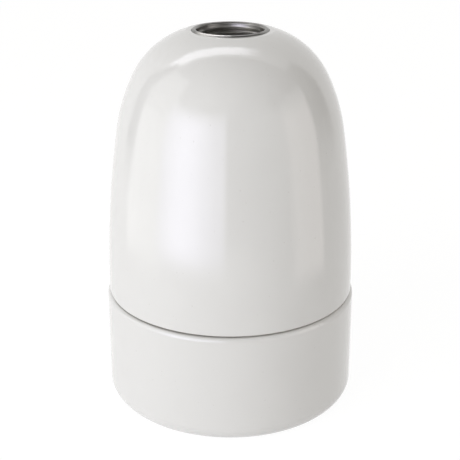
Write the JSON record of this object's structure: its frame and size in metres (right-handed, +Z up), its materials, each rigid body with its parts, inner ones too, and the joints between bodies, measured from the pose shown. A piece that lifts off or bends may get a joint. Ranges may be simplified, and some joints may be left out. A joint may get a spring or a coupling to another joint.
{
  "type": "lamp holder",
  "caption": "Bullet-shaped glazed porcelain lamp holder: a dome with a threaded metal entry bush, a screwed-on ring, and a screw shell with clamp terminals inside.",
  "frame": {"origin": "centre of the circle on which the ring's foot stands", "axes": "+Z up along the holder's axis, from the lamp's mouth to the entry bush; -X towards the live terminal"},
  "size_m": [0.049, 0.049, 0.0729],
  "materials": {
    "glazed_porcelain": "white porcelain under a clear glossy glaze",
    "plain_porcelain": "unglazed white porcelain",
    "plated_steel": "dull nickel-plated steel",
    "zinc_steel": "bright zinc-plated steel",
    "shell_brass": "rolled brass sheet",
    "terminal_brass": "machined brass",
    "contact_bronze": "spring bronze",
    "red_fibre": "vulcanised fibre sheet"
  },
  "bodies": {
    "dome": {"dome_cover": "glazed_porcelain", "entry_bush": "plated_steel", "bush_washer": "red_fibre"},
    "insert": {"terminal_block": "plain_porcelain", "screw_shell": "shell_brass", "shell_rivets": "terminal_brass", "neutral_fixing_screw": "zinc_steel", "live_fixing_screw": "zinc_steel", "neutral_terminal": "terminal_brass", "live_terminal": "terminal_brass", "centre_contact": "contact_bronze"},
    "skirt": {"skirt_ring": "glazed_porcelain"},
    "contact": {"contact_button": "contact_bronze"},
    "live_clamp": {"live_clamp_plate": "zinc_steel"},
    "live_screw": {"live_clamp_screw": "zinc_steel"},
    "neutral_clamp": {"neutral_clamp_plate": "zinc_steel"},
    "neutral_screw": {"neutral_clamp_screw": "zinc_steel"},
    "earth_clamp": {"earth_clamp_washer": "zinc_steel"},
    "earth_screw": {"earth_clamp_screw": "zinc_steel"},
    "locking": {"locking_screw": "zinc_steel"}
  },
  "joints": [
    {"name": "insert_drop", "type": "slide", "parent": "dome", "child": "insert", "axis": [0, 0, -1], "range_m": [0, 0.008]},
    {"name": "skirt_turn", "type": "hinge", "parent": "insert", "child": "skirt", "pos_m": [0, 0, 0.0272], "axis": [0, 0, -1], "range_deg": [0, 720]},
    {"name": "contact_press", "type": "slide", "parent": "insert", "child": "contact", "axis": [0, 0, 1], "range_m": [0, 0.0015], "stiffness_N_per_m": 3300, "deforming": ["centre_contact"]},
    {"name": "live_clamp_lift", "type": "slide", "parent": "insert", "child": "live_clamp", "axis": [0, 0, 1], "range_m": [0, 0.0024]},
    {"name": "live_screw_turn", "type": "hinge", "parent": "live_clamp", "child": "live_screw", "pos_m": [-0.007, 0, 0.0455], "axis": [0, 0, 1], "range_deg": [0, 1440]},
    {"name": "neutral_clamp_lift", "type": "slide", "parent": "insert", "child": "neutral_clamp", "axis": [0, 0, 1], "range_m": [0, 0.0024]},
    {"name": "neutral_screw_turn", "type": "hinge", "parent": "neutral_clamp", "child": "neutral_screw", "pos_m": [0.0086, 0, 0.0455], "axis": [0, 0, 1], "range_deg": [0, 1440]},
    {"name": "earth_clamp_drop", "type": "slide", "parent": "dome", "child": "earth_clamp", "axis": [0, 0, -1], "range_m": [0, 0.002]},
    {"name": "earth_screw_turn", "type": "hinge", "parent": "earth_clamp", "child": "earth_screw", "pos_m": [0.00875, 0, 0.0584], "axis": [0, 0, -1], "range_deg": [0, 1440]},
    {"name": "locking_screw_travel", "type": "slide", "parent": "dome", "child": "locking", "axis": [-1, 0, 0], "range_m": [-0.0006, 0.0025]}
  ],
  "couplings": [
    {"joint": "insert_drop", "follows": "skirt_turn", "m_per_rad": 0.00063662},
    {"joint": "live_screw_turn", "follows": "live_clamp_lift", "rad_per_m": 10472},
    {"joint": "neutral_screw_turn", "follows": "neutral_clamp_lift", "rad_per_m": 10472},
    {"joint": "earth_screw_turn", "follows": "earth_clamp_drop", "rad_per_m": 12566}
  ]
}
